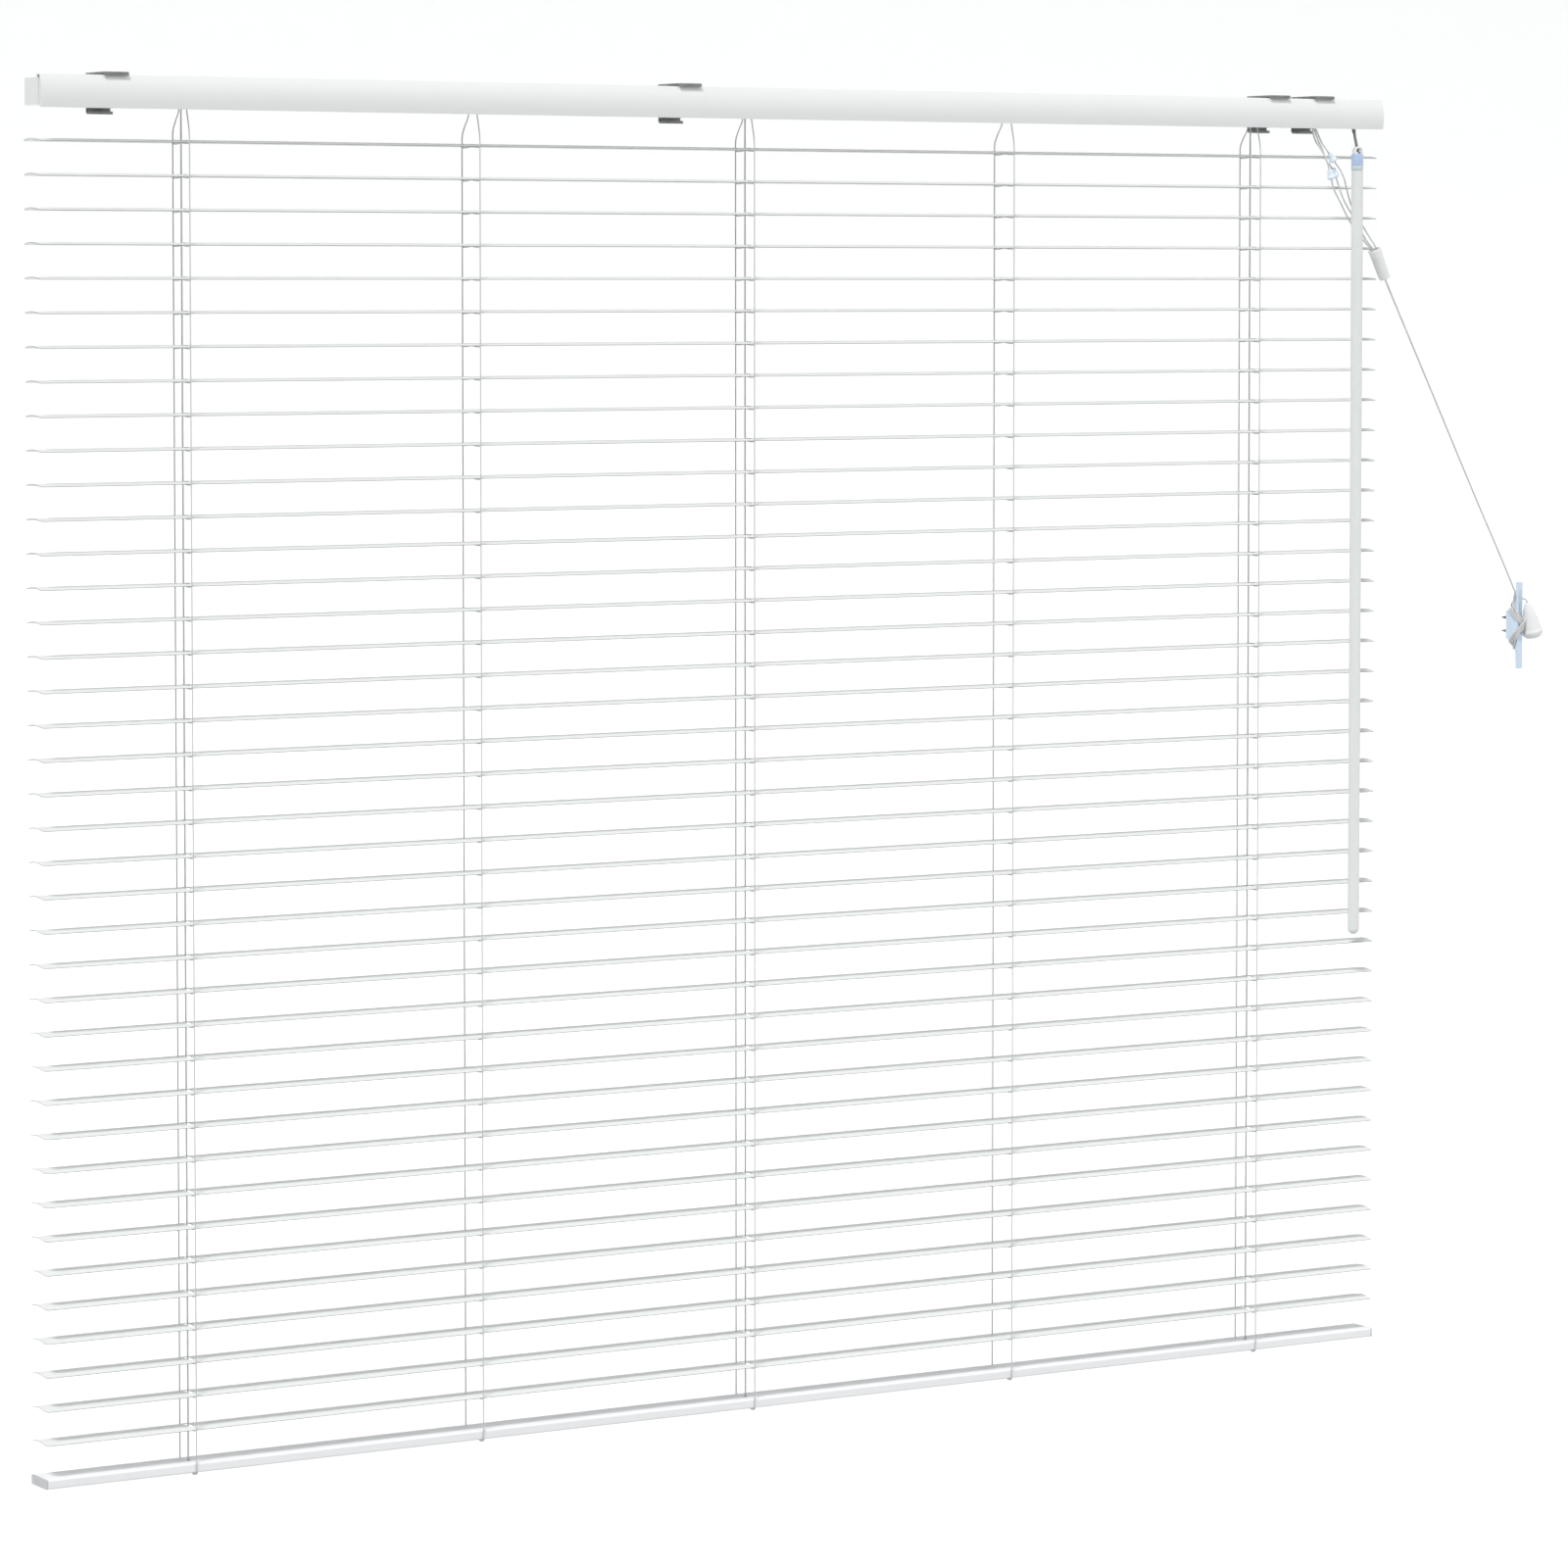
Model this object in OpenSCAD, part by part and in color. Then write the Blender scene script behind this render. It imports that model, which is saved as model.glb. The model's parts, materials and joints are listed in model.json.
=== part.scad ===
// Venetian blind with 25 mm slats, a tilt wand and a corded lift.
// Origin: middle of the blind's width, on the ceiling plane, above the middle of the slats.
// +X runs to the right, +Y to the wall behind and +Z up, in millimetres.

/* [Blind] */
// Width over the end caps
blind_w = 1106; // [1090:1:1400]
// Number of slats
slat_count = 39; // [4:1:39]
// Height from one slat to the next
slat_pitch = 23; // [21:0.5:26]
// Height of the first slat's edges below the ceiling
first_slat = 46; // [46:1:60]
// Distance from one ladder to the next
ladder_step = 221.25; // [200:0.25:225]

/* [Slats] */
// Depth of a slat from edge to edge
slat_depth = 25; // [25:0.5:25.5]
// Height of a slat's crown over its edges
slat_crown = 1.6; // [1:0.1:2.2]
// Thickness of the slat's sheet
slat_t = 0.35; // [0.2:0.05:0.6]
// Radius of a slat's corners in plan
slat_corner_r = 3; // [1:0.5:6]
// Length of the slot that a lift cord passes through
slot_l = 14; // [13:0.5:16]
// Width of that slot
slot_w = 4; // [3:0.5:6]

/* [Headrail] */
// Front face of the box
box_front = -13.5; // [-13.8:0.1:-13.3]
// Back face of the box
box_back = 8; // [7.6:0.1:10]
// Top of the box
box_top = -4.3; // [-4.6:0.1:-4.2]
// Underside of the box
box_bottom = -22.6; // [-24:0.1:-22.6]
// Thickness of the box's sheet
box_t = 0.7; // [0.5:0.1:0.9]
// Width of the lips along the box's open top
box_lip = 3; // [2:0.1:3.4]
// Radius of the front cover's bow
cover_r = 34; // [34:0.5:36]
// Thickness of the front cover
cover_t = 0.8; // [0.5:0.1:1]

/* [Brackets] */
// Width of a mounting bracket
bracket_w = 17.5; // [12:0.5:24]
// Thickness of the bracket's steel
bracket_t = 1.3; // [1:0.1:1.6]
// Face that goes against the wall
wall_y = 12.5; // [12:0.5:14]
// Radius of the screw holes
screw_hole_r = 2.25; // [1.5:0.05:3]
// Distance of the outer brackets from the middle
outer_bracket_x = 498; // [486:1:500]

/* [Bottom rail] */
// Height of the bottom rail
rail_h = 6.6; // [6:0.1:8]
// Thickness of its wall
rail_t = 0.7; // [0.5:0.1:1]

/* [Wand] */
// Length of the wand below its connector
wand_l = 585; // [200:5:800]
// Radius of the wand
wand_r = 4.45; // [4.3:0.05:4.5]

/* [Cords] */
// Radius of a lift cord
lift_r = 0.6; // [0.4:0.05:0.65]
// Radius of the draw cord below the condenser
draw_r = 0.7; // [0.5:0.05:0.8]
// Radius of a ladder cord
ladder_r = 0.45; // [0.3:0.05:0.5]

/* [Hidden] */
$fn = 48;
EPS = 0.01;

function two_digits(n) = n < 10 ? str("0", n) : str(n);
function slat_name(n) = str("slat_", two_digits(n));

// ---- places worked out from the driving sizes
half_w = blind_w / 2;
stations = [for (i = [-2 : 2]) i * ladder_step];
lift_stations = [stations[0], stations[2], stations[4]];
last_slat_z = -first_slat - slat_pitch * (slat_count - 1);
rail_top_z = last_slat_z - slat_pitch;
rail_z = rail_top_z - rail_h / 2;
ladder_y = slat_depth / 2 + 0.7;
slat_r = (slat_depth * slat_depth / 4 + slat_crown * slat_crown) / (2 * slat_crown);

// ---- tilt rod and its drums, which carry the ladders
rod_y = -2.75;
rod_z = -13;
rod_r = 2.5;
rod_x0 = stations[0] - 14;
rod_x1 = 540;
drum_r = 5.5;
drum_l = 14;
hub_r = 3.4;
hub_l = 24;
hex_bore_r = rod_r + 0.06;
cheek_x = 10;
cheek_t = 1.6;
drum_cord_y = drum_r + ladder_r + 0.05;

// ---- tilter: a worm on a leaning shaft turns a 15-tooth wheel on the rod
tilter_x = 528.4;
link_y = -19;
link_z = -40;
shaft_lean = 17.5;
wheel_teeth = 15;
tooth_module = 0.6;
wheel_r = wheel_teeth * tooth_module / 2;
wheel_w = 3;
tooth_h = 0.45;
worm_gap = 0.35;
worm_lead = PI * tooth_module;
worm_turns = 4;
worm_steps = 14;
link_to_rod = [rod_y - link_y, rod_z - link_z];
worm_s = link_to_rod[0] * sin(shaft_lean) + link_to_rod[1] * cos(shaft_lean);
shaft_to_rod = link_to_rod[0] * cos(shaft_lean) - link_to_rod[1] * sin(shaft_lean);
worm_r = shaft_to_rod - wheel_r - worm_gap;
worm_l = worm_turns * worm_lead;
shaft_r = 1.4;
stem_r = 1.1;
stem_l = 14;
ball_r = 1.8;
journal_l = 2.2;

// ---- wand connector: a bail around the ball, and a collar that holds the wand
collar_r = 4.6;
collar_top = -43.5;
collar_bottom = -51.7;
skirt_bottom = -55;
bail_r = 3.7;
bail_top = -37.3;
bail_slot_w = 2.7;
bail_slot_l = 5;

// ---- cord lock in the headrail, with its roller and pin
lock_x = 484;
lock_w = 20.5;
roller_x = 491;
roller_z = -14;
roller_r = 2.1;
lock_y = [-12.7, -6.5];

// ---- free cords: each runs from its slat slot through the headrail and the lock, past its
// ---- stop bead and behind the wand, and ends inside the condenser
cord_sides = 8;
lock_path = [[474, -20.2], [489.5, -11.35], [491, -10.95], [493.1, -11.8], [494, -14]];
left_end = [
    [494, -8.1, -22.6], [494, -9.4, -28], [494.6, -12.2, -34], [496.8, -15.2, -39.5],
    [499.2, -17.2, -45], [501.6, -18.3, -52], [503.6, -18.6, -59], [506.8, -18.2, -69],
    [515.4, -16.4, -81], [523.2, -13.9, -90.6], [531, -13.65, -101], [537.9, -14.9, -108.6],
    [543.6, -17.7, -115.8], [545.6, -18, -119]];
middle_end = [
    [494, -9.6, -22.6], [495.2, -10.9, -28], [497, -12.4, -34], [500.2, -13.7, -41],
    [502.8, -13.7, -47.4], [507.2, -13.7, -52.4], [510.6, -14, -57.4], [514, -14.6, -66.4],
    [519.4, -14.4, -78], [526.2, -13.65, -87], [534, -13.65, -97.4], [538.8, -14.8, -106.4],
    [545.4, -16.3, -115], [547, -16.8, -118.6]];
right_end = [
    [494, -11.1, -22.6], [496.2, -12.3, -28], [498.6, -13.4, -34], [502.2, -15.2, -40],
    [506.5, -16.2, -46], [509.4, -16.8, -50], [513.6, -17.2, -55], [517.8, -17, -62.4],
    [521.4, -15.5, -70.4], [526.4, -13.65, -80.6], [532, -13.65, -89.8], [537.6, -14.6, -98.2],
    [543.8, -17, -108.4], [547.2, -18.3, -114.2], [548.7, -18.2, -118]];
draw_route = [
    [554.5, -18.2, -135], [555.7, -18.2, -137.6], [557.2, -18, -140.4], [600, -13, -214.6],
    [650, -7, -301.5], [695, -2.2, -379.6], [697, 0.6, -384.6], [697.1, 2.2, -389.6]];

// ---- condenser and stop beads
condenser_top = [545.4, -18.2, -115];
condenser_lean = 24.5;
condenser_l = 24.8;
condenser_r = [5.1, 4.3];
bead_places = [[506.5, -16.2, -46], [510.6, -14, -57.4], [503.6, -18.6, -59]];
bead_leans = [36, 26, 15];

// ---- cleat on the wall, the cord wound on it and the tassel
cleat_x = 700.5;
cleat_w = 5;
cleat_front = -2.5;
cleat_mid_z = -406.7;
cleat_screw_gap = 10.4;
cleat_screw_r = 1.5;
wrap_w = 7.8;
wrap_h = 34;
tassel_top = [707.9, -1.6, -389.3];
tassel_lean = 13;
tassel_l = 28.4;
tassel_r = 8.2;

// ================================================================= helpers

// A profile drawn as (y, z) and run along X from x0 to x1
module along_x(x0, x1) {
    translate([x0, 0, 0])
        rotate([90, 0, 90])
            linear_extrude(height = x1 - x0)
                children();
}

// A cylinder whose axis lies along X, centred on (y, z)
module x_cylinder(r, x0, x1, y, z) {
    translate([x0, y, z])
        rotate([0, 90, 0])
            cylinder(r = r, h = x1 - x0);
}

// A rectangle given by its lowest and highest corners
module rect(low, high) {
    translate(low)
        square(high - low);
}

// A block given by its lowest and highest corners
module block(low, high) {
    translate(low)
        cube(high - low);
}

// A rectangle with round corners, centred
module round_rect(w, h, r) {
    square([w - 2 * r, h], center = true);
    square([w, h - 2 * r], center = true);
    for (sx = [-1, 1], sy = [-1, 1])
        translate([sx * (w / 2 - r), sy * (h / 2 - r)])
            circle(r = r);
}

// A slot with round ends, l long over all along Y and w wide, centred
module round_slot(l, w) {
    square([w, l - w], center = true);
    for (s = [-1, 1])
        translate([0, s * (l - w) / 2])
            circle(r = w / 2);
}

function unit(v) = v / norm(v);

// Direction of a route at point i: along it, halfway between the two neighbouring stretches
function heading(route, i) =
    i == 0 ? unit(route[1] - route[0])
    : i == len(route) - 1 ? unit(route[i] - route[i - 1])
    : unit(unit(route[i + 1] - route[i]) + unit(route[i] - route[i - 1]));

// One ring of a cord around point c, square to direction d
function cord_ring(c, d, r) =
    let (a = unit(cross(d, [0, 1, 0])), b = cross(d, a))
    [for (k = [0 : cord_sides - 1])
        c + r * (cos(360 * k / cord_sides) * a + sin(360 * k / cord_sides) * b)];

// A cord of radius r along a route, as one closed tube
module cord(route, r) {
    rings = len(route);
    n = cord_sides;
    points = [for (i = [0 : rings - 1]) each cord_ring(route[i], heading(route, i), r)];
    sides = [for (i = [0 : rings - 2], k = [0 : n - 1])
        let (next = (k + 1) % n)
        [i * n + k, (i + 1) * n + k, (i + 1) * n + next, i * n + next]];
    first_end = [for (k = [0 : n - 1]) k];
    last_end = [for (k = [n - 1 : -1 : 0]) (rings - 1) * n + k];
    polyhedron(points = points, faces = concat([first_end], sides, [last_end]), convexity = 8);
}

// Places children in the frame of the tilter's shaft: the link is the origin, +Z goes up the
// shaft and +Y points to the rod
module on_shaft() {
    translate([tilter_x, link_y, link_z])
        rotate([-shaft_lean, 0, 0])
            children();
}

// ================================================================= slats

module slat(n) {
    z = -first_slat - slat_pitch * (n - 1);
    color("white")
        translate([0, 0, z])
            difference() {
                intersection() {
                    along_x(-half_w, half_w)
                        difference() {
                            translate([0, slat_crown - slat_r])
                                circle(r = slat_r, $fn = 360);
                            translate([0, slat_crown - slat_r])
                                circle(r = slat_r - slat_t, $fn = 360);
                            rect([-slat_r - 1, -2 * slat_r - 1], [slat_r + 1, -slat_crown]);
                        }
                    translate([0, 0, -slat_crown])
                        linear_extrude(height = 3 * slat_crown)
                            round_rect(blind_w, slat_depth, slat_corner_r);
                }
                for (x = lift_stations)
                    translate([x, 0, -slat_crown])
                        linear_extrude(height = 3 * slat_crown)
                            round_slot(slot_l, slot_w);
            }
}

// ================================================================= headrail

module box_profile() {
    difference() {
        rect([box_front, box_bottom], [box_back, box_top]);
        rect([box_front + box_t, box_bottom + box_t], [box_back - box_t, box_top - box_t]);
        rect([box_front + box_lip, box_top - 2 * box_t], [box_back - box_lip, box_top + 1]);
    }
}

module headrail() {
    cap_t = 1.5;
    outlet = [494, -9.6];
    color("gainsboro")
        difference() {
            along_x(-half_w + cap_t, half_w - cap_t)
                box_profile();
            // one slot under each drum, for the ladder's two cords and the lift cord
            for (x = stations)
                translate([x, rod_y, box_bottom - 1])
                    linear_extrude(height = 3)
                        round_slot(15.4, 5);
            // outlet under the cord lock
            translate([outlet[0], outlet[1], box_bottom - 1])
                linear_extrude(height = 3)
                    round_slot(5.6, 3.4);
            // opening that the tilter leans through
            block([tilter_x - 10, box_front - 1, box_bottom - 1], [tilter_x + 10, -10, box_top + 1]);
        }
}

// The cover's bow is an arc about a line behind the box
cover_mid = [cover_r - 19.5, -16];
cover_top = -2.1;
cover_bottom = -24.3;

module cover_band(outer, inner) {
    intersection() {
        difference() {
            translate(cover_mid)
                circle(r = outer, $fn = 360);
            translate(cover_mid)
                circle(r = inner, $fn = 360);
        }
        rect([-25, cover_bottom], [-10, cover_top]);
    }
}

module front_cover() {
    color("white")
        along_x(-half_w, half_w) {
            cover_band(cover_r, cover_r - cover_t);
            // flange along the top and the leg that stands on the box's front lip
            rect([-16.2, cover_top - cover_t], [-11.4, cover_top]);
            rect([-12.2, box_top + 0.05], [-11.4, cover_top]);
            // stiffening return along the bottom edge
            rect([-18.2, cover_bottom], [-16.4, cover_bottom + cover_t]);
        }
}

module head_end_caps() {
    cap_t = 1.5;
    tongue_t = 1.6;
    recess = 1.2;
    color("whitesmoke")
        for (s = [-1, 1])
            mirror([s < 0 ? 1 : 0, 0, 0]) {
                along_x(half_w - cap_t, half_w)
                    rect([box_front, box_bottom], [box_back, box_top]);
                // plug that fits inside the box
                along_x(half_w - cap_t - 5, half_w - cap_t)
                    difference() {
                        rect([box_front + box_t + 0.1, box_bottom + box_t + 0.1],
                             [box_back - box_t - 0.1, box_top - box_t - 0.1]);
                        rect([box_front + 2.4, box_bottom + 2.4], [box_back - 2.4, box_top + 1]);
                    }
                // tongue that closes the end of the front cover
                along_x(half_w - recess - tongue_t, half_w - recess)
                    intersection() {
                        translate(cover_mid)
                            circle(r = cover_r - cover_t - 0.1, $fn = 360);
                        rect([-25, cover_bottom + cover_t + 0.1],
                             [box_front, cover_top - cover_t - 0.1]);
                    }
                // two moulded studs on the tongue
                for (z = [-9, -17])
                    x_cylinder(0.8, half_w - recess - EPS, half_w - recess + 0.5, -16.2, z);
            }
}

module bracket_profile() {
    leg_bottom = -27.7;
    shelf_z = box_bottom - 0.1;
    // top plate
    rect([-17.6, -bracket_t], [wall_y, 0]);
    // front curl over the cover's top edge
    rect([-19, -2.3], [-17.6, -0.5]);
    translate([-17.6, -1.4])
        intersection() {
            circle(r = 1.4);
            rect([-2, 0], [0, 2]);
        }
    // back leg, the shelf under the box and the curl at the foot
    rect([wall_y - bracket_t, leg_bottom + 2], [wall_y, 0]);
    rect([4.5, shelf_z - 0.9], [wall_y - bracket_t + EPS, shelf_z]);
    translate([wall_y - 2.6, leg_bottom + 2.6])
        intersection() {
            difference() {
                circle(r = 2.6);
                circle(r = 2.6 - bracket_t);
            }
            rect([0, -3], [3, 0]);
        }
    rect([7.4, leg_bottom], [wall_y - 2.6 + EPS, leg_bottom + bracket_t]);
    rect([7.4, leg_bottom], [8.5, leg_bottom + 2]);
    // hook that holds the box by its back lip
    rect([3.4, box_top - box_t - 1.2], [4.6, -bracket_t + EPS]);
    rect([3.4, box_top - box_t - 1.2], [7, box_top - box_t - 0.2]);
}

bracket_places = [-outer_bracket_x, -55.5, 457, outer_bracket_x];

module mounting_brackets() {
    color("darkgray")
        for (x = bracket_places)
            difference() {
                along_x(x - bracket_w / 2, x + bracket_w / 2)
                    bracket_profile();
                // ceiling hole and wall hole
                translate([x, 0, -3])
                    cylinder(r = screw_hole_r, h = 5);
                translate([x, wall_y + 1, rod_z])
                    rotate([90, 0, 0])
                        cylinder(r = screw_hole_r, h = 4);
            }
}

// ================================================================= tilt rod

module tilt_rod() {
    color("silver")
        x_cylinder(rod_r, rod_x0, rod_x1, rod_y, rod_z, $fn = 6);
}

module hex_bore(x0, x1) {
    x_cylinder(hex_bore_r, x0, x1, rod_y, rod_z, $fn = 6);
}

module drum(x) {
    difference() {
        union() {
            x_cylinder(drum_r, x - drum_l / 2, x + drum_l / 2, rod_y, rod_z);
            x_cylinder(hub_r, x - hub_l / 2, x + hub_l / 2, rod_y, rod_z);
        }
        hex_bore(x - hub_l, x + hub_l);
    }
}

// Round-toothed wheel whose gap faces the worm at rest
module worm_wheel() {
    steps = wheel_teeth * 8;
    outline = [for (k = [0 : steps - 1])
        let (a = 360 * k / steps, r = wheel_r - tooth_h * cos(wheel_teeth * a))
        r * [cos(a), sin(a)]];
    facing = 180 - shaft_lean;
    difference() {
        union() {
            along_x(tilter_x - wheel_w / 2, tilter_x + wheel_w / 2)
                translate([rod_y, rod_z])
                    rotate(facing)
                        polygon(outline);
            x_cylinder(hub_r, tilter_x - 4, tilter_x + 4, rod_y, rod_z);
        }
        hex_bore(tilter_x - 10, tilter_x + 10);
    }
}

module rod_fittings() {
    color("white") {
        for (x = stations)
            drum(x);
        worm_wheel();
    }
}

// A cradle is an open frame: two cheeks with bearing holes, joined by a front and a back wall
module cradle(x) {
    floor_z = box_bottom + box_t;
    top_z = -7;
    difference() {
        union() {
            for (s = [-1, 1])
                block([x + s * cheek_x - cheek_t / 2, -11, floor_z],
                      [x + s * cheek_x + cheek_t / 2, 5.5, top_z]);
            block([x - cheek_x, -11, floor_z], [x + cheek_x, -9.7, -14]);
            block([x - cheek_x, 4.2, floor_z], [x + cheek_x, 5.5, -14]);
        }
        x_cylinder(hub_r + 0.4, x - 15, x + 15, rod_y, rod_z);
        // windows at floor level that the lift cords run through
        block([x - 15, -4, floor_z - 1], [x + 15, 4, floor_z + 3.4]);
    }
}

// Housing of the worm and wheel: two cheeks, a bearing plate at each end of the worm and a
// bar behind the wheel
module tilter_case() {
    floor_z = box_bottom + box_t;
    inside = 4.5;
    wall = 1.4;
    lower = worm_s - 9.1;
    upper = worm_s + worm_l / 2 + 0.45;
    difference() {
        union() {
            for (s = [-1, 1])
                block([tilter_x + s * (inside + wall / 2) - wall / 2, -12.7, floor_z],
                      [tilter_x + s * (inside + wall / 2) + wall / 2, 3, -5.6]);
            on_shaft() {
                block([-inside - 0.5, -2.5, lower], [inside + 0.5, 3.4, lower + 1.6]);
                block([-inside - 0.5, -2.2, upper], [inside + 0.5, 3.4, upper + 1.3]);
            }
            block([tilter_x - inside - 0.5, 1.5, floor_z], [tilter_x + inside + 0.5, 3, -17]);
        }
        x_cylinder(hub_r + 0.3, tilter_x - 10, tilter_x + 10, rod_y, rod_z);
        on_shaft() {
            translate([0, 0, lower - 1])
                cylinder(r = shaft_r + 0.25, h = 4);
            translate([0, 0, upper - 1])
                cylinder(r = stem_r + 0.25, h = 4);
        }
    }
}

module rod_supports() {
    color("ghostwhite") {
        for (x = stations)
            cradle(x);
        tilter_case();
    }
}

// ================================================================= tilter and wand

// The worm is a round bar set off its axis and twisted: its crest winds round the shaft
module tilter_worm() {
    low = worm_s - worm_l / 2;
    color("lightsteelblue")
        on_shaft() {
            sphere(r = ball_r);
            cylinder(r = stem_r, h = stem_l + EPS);
            translate([0, 0, stem_l])
                cylinder(r = shaft_r, h = low - stem_l + EPS);
            translate([0, 0, low])
                rotate(90 + 360 * worm_turns / -2)
                    linear_extrude(height = worm_l, twist = -360 * worm_turns,
                                   slices = worm_turns * worm_steps, convexity = 10)
                        translate([tooth_h, 0])
                            circle(r = worm_r, $fn = 32);
            translate([0, 0, low + worm_l - EPS])
                cylinder(r = stem_r, h = journal_l);
        }
}

module wand_connector() {
    color("lightsteelblue")
        translate([tilter_x, link_y, 0])
            difference() {
                union() {
                    translate([0, 0, collar_bottom])
                        cylinder(r = collar_r, h = collar_top - collar_bottom);
                    translate([0, 0, collar_top - EPS])
                        cylinder(r = bail_r, h = bail_top - collar_top + EPS);
                    translate([0, 0, skirt_bottom])
                        cylinder(r = collar_r + 0.15, h = collar_bottom - skirt_bottom + EPS);
                }
                // bore for the wand's spigot and the skirt's wider mouth
                translate([0, 0, collar_bottom - 1])
                    cylinder(r = 3.5, h = 1 + 6.7);
                translate([0, 0, skirt_bottom - 1])
                    cylinder(r = 4.2, h = collar_bottom - skirt_bottom + 1);
                // window for the ball, and the slot over it for the shaft
                block([-2.2, -10, -42.6], [2.2, 10, -38.4]);
                translate([0, 0, -39])
                    linear_extrude(height = 4)
                        round_slot(bail_slot_l, bail_slot_w);
            }
}

module wand() {
    bottom = collar_bottom - wand_l;
    color("whitesmoke")
        translate([tilter_x, link_y, 0]) {
            translate([0, 0, bottom + wand_r])
                sphere(r = wand_r);
            translate([0, 0, bottom + wand_r])
                cylinder(r = wand_r, h = skirt_bottom - 0.3 - bottom - wand_r);
            translate([0, 0, skirt_bottom - 0.3 - EPS])
                cylinder(r = 3.9, h = collar_bottom - skirt_bottom);
            translate([0, 0, collar_bottom - 0.4])
                cylinder(r = 3.2, h = 6.6);
        }
}

// ================================================================= cords

module cord_lock() {
    color("white") {
        difference() {
            block([lock_x, lock_y[0], box_bottom + box_t], [lock_x + lock_w, lock_y[1], -6]);
            // throat, open at its left and below, beside the fixed jaw
            block([lock_x - 1, lock_y[0] + 0.6, -30], [495.4, lock_y[1] - 0.6, -7.2]);
            translate([roller_x, 0, roller_z])
                rotate([90, 0, 0])
                    cylinder(r = 0.75, h = 30);
        }
        translate([roller_x, lock_y[1] - 0.9, roller_z])
            rotate([90, 0, 0])
                difference() {
                    cylinder(r = roller_r, h = 4.4);
                    translate([0, 0, -1])
                        cylinder(r = 0.85, h = 7);
                }
    }
    color("silver")
        translate([roller_x, lock_y[1], roller_z])
            rotate([90, 0, 0])
                cylinder(r = 0.7, h = lock_y[1] - lock_y[0]);
}

// Cords of the five ladders on one side: from the drum, out to the slats' edge and down
module ladder_cords(side, top_y) {
    color("silver")
        for (x = stations)
            cord([[x, top_y, rod_z],
                  [x, top_y, box_bottom - 0.4],
                  [x, side * (abs(top_y) + ladder_y) / 2, box_bottom - 8.4],
                  [x, side * (ladder_y - 0.5), -first_slat + 8],
                  [x, side * ladder_y, -first_slat],
                  [x, side * ladder_y, rail_z - 1]], ladder_r);
}

module ladder_front() {
    ladder_cords(-1, rod_y - drum_cord_y);
}

module ladder_back() {
    ladder_cords(1, rod_y + drum_cord_y);
}

// A lift cord's route: up from the bottom rail, along the headrail at run_y, through the lock
// at lock_y and on to the end that it is given
function lift_route(x, run_y, throat_y, end) = concat(
    [[x, 0, rail_top_z + 9.8], [x, 0, -23.4], [x + 0.2, run_y * 0.45, -22],
     [x + 1, run_y, -21], [x + 3.2, run_y, -20.2], [456, run_y, -20.2]],
    [for (p = lock_path) [p[0], throat_y, p[1]]],
    end);

module lift_cords() {
    color("gainsboro") {
        cord(lift_route(lift_stations[0], -1.5, -11.1, right_end), lift_r);
        cord(lift_route(lift_stations[1], 0, -9.6, middle_end), lift_r);
        cord(lift_route(lift_stations[2], 1.6, -8.1, left_end), lift_r);
        cord(draw_route, draw_r);
    }
}

// A stop bead: a short bell on its cord
module stop_bead() {
    difference() {
        union() {
            cylinder(r1 = 3.1, r2 = 2, h = 5.6);
            translate([0, 0, -1.6])
                cylinder(r1 = 2.4, r2 = 3.1, h = 1.6);
        }
        translate([0, 0, -3])
            cylinder(r = 1.35, h = 10);
    }
}

module condenser() {
    difference() {
        union() {
            cylinder(r1 = condenser_r[1], r2 = condenser_r[0], h = condenser_l - 0.8);
            translate([0, 0, condenser_l - 0.8])
                cylinder(r1 = condenser_r[0], r2 = condenser_r[0] - 0.6, h = 0.8);
        }
        translate([0, 0, condenser_l - 6])
            cylinder(r = 3.9, h = 7);
        translate([0, 0, -1])
            cylinder(r = 1.2, h = condenser_l);
    }
}

module cord_fittings() {
    color("white") {
        for (i = [0 : 2])
            translate(bead_places[i])
                rotate([0, -bead_leans[i], 0])
                    translate([0, 0, -2])
                        stop_bead();
        translate(condenser_top)
            rotate([0, -condenser_lean, 0])
                translate([0, 0, -condenser_l])
                    condenser();
    }
}

// ================================================================= bottom rail

module bottom_rail() {
    cap_t = 1.2;
    color("white")
        translate([0, 0, rail_z])
            difference() {
                along_x(-half_w + cap_t, half_w - cap_t)
                    difference() {
                        round_rect(slat_depth, rail_h, 1.2);
                        round_rect(slat_depth - 2 * rail_t, rail_h - 2 * rail_t, 0.5);
                    }
                // holes where the lift cords go in
                for (x = lift_stations)
                    translate([x, 0, 0])
                        cylinder(r = 1.6, h = rail_h);
                // holes under the edges where the ladders are plugged in
                for (x = stations, s = [-1, 1])
                    translate([x, s * 10.4, -rail_h])
                        cylinder(r = 1.3, h = rail_h);
            }
}

module rail_fittings() {
    cap_t = 1.2;
    color("lightgray") {
        translate([0, 0, rail_z])
            for (s = [-1, 1])
                mirror([s < 0 ? 1 : 0, 0, 0]) {
                    along_x(half_w - cap_t, half_w)
                        round_rect(slat_depth, rail_h, 1.2);
                    along_x(half_w - cap_t - 6, half_w - cap_t + EPS)
                        difference() {
                            round_rect(slat_depth - 2 * rail_t - 0.2, rail_h - 2 * rail_t - 0.2, 0.5);
                            round_rect(slat_depth - 5, rail_h - 4, 0.3);
                        }
                }
        // plugs that hold the ladders' ends
        for (x = stations, s = [-1, 1])
            translate([x, s * 10.4, rail_z - rail_h / 2]) {
                translate([0, 0, -0.8])
                    cylinder(r = 2, h = 0.8);
                translate([0, 0, -1.5])
                    cylinder(r1 = 1.2, r2 = 2, h = 0.7);
                cylinder(r = 1.2, h = 2.4);
            }
    }
}

// ================================================================= cleat

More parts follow.
